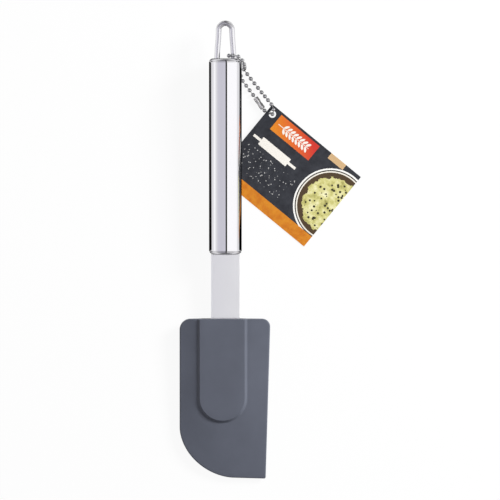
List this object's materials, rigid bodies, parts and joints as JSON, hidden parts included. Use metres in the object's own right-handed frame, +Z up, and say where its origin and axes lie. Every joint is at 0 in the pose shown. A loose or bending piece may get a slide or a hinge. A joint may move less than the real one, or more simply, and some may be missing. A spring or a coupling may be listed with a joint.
{
  "type": "dough cutter",
  "caption": "Flexible flat blade with one curved corner on a flat steel bar, a tubular steel handle with a wire hanging loop, and a card tag on bead chain.",
  "frame": {"origin": "on the table, under the middle of the whole part's box, as it lies in the picture", "axes": "+Y along the handle from the blade to the hanging loop, +X to the side where the tag lies, +Z up from the table"},
  "size_m": [0.109, 0.2746, 0.0255],
  "materials": {
    "steel": "polished stainless steel",
    "nylon": "black moulded nylon",
    "silicone": "slate blue-grey silicone, satin",
    "chain": "nickel plated steel",
    "card": "printed card, charcoal with orange"
  },
  "bodies": {
    "handle": {"handle_tube": "steel", "bottom_cap": "steel", "top_cap": "steel", "hanging_loop": "steel", "flat_bar": "steel", "head_core": "nylon", "chain_hanger": "chain"},
    "head": {"blade": "silicone"},
    "chain": {"chain_front": "chain", "chain_back": "chain", "chain_connector": "chain"},
    "tag": {"hang_tag": "card"}
  },
  "joints": [
    {"name": "head_pull", "type": "slide", "parent": "handle", "child": "head", "axis": [0, -0.9986, -0.0527], "range_m": [0, 0.065]},
    {"name": "chain_swing", "type": "hinge", "parent": "handle", "child": "chain", "pos_m": [-0.02206, 0.11636, 0.01593], "axis": [0, 0, 1], "range_deg": [0, 90]},
    {"name": "tag_swing", "type": "hinge", "parent": "chain", "child": "tag", "pos_m": [0.00124, 0.08162, 0.00022], "axis": [0, 0, 1], "range_deg": [-20, 90]}
  ]
}
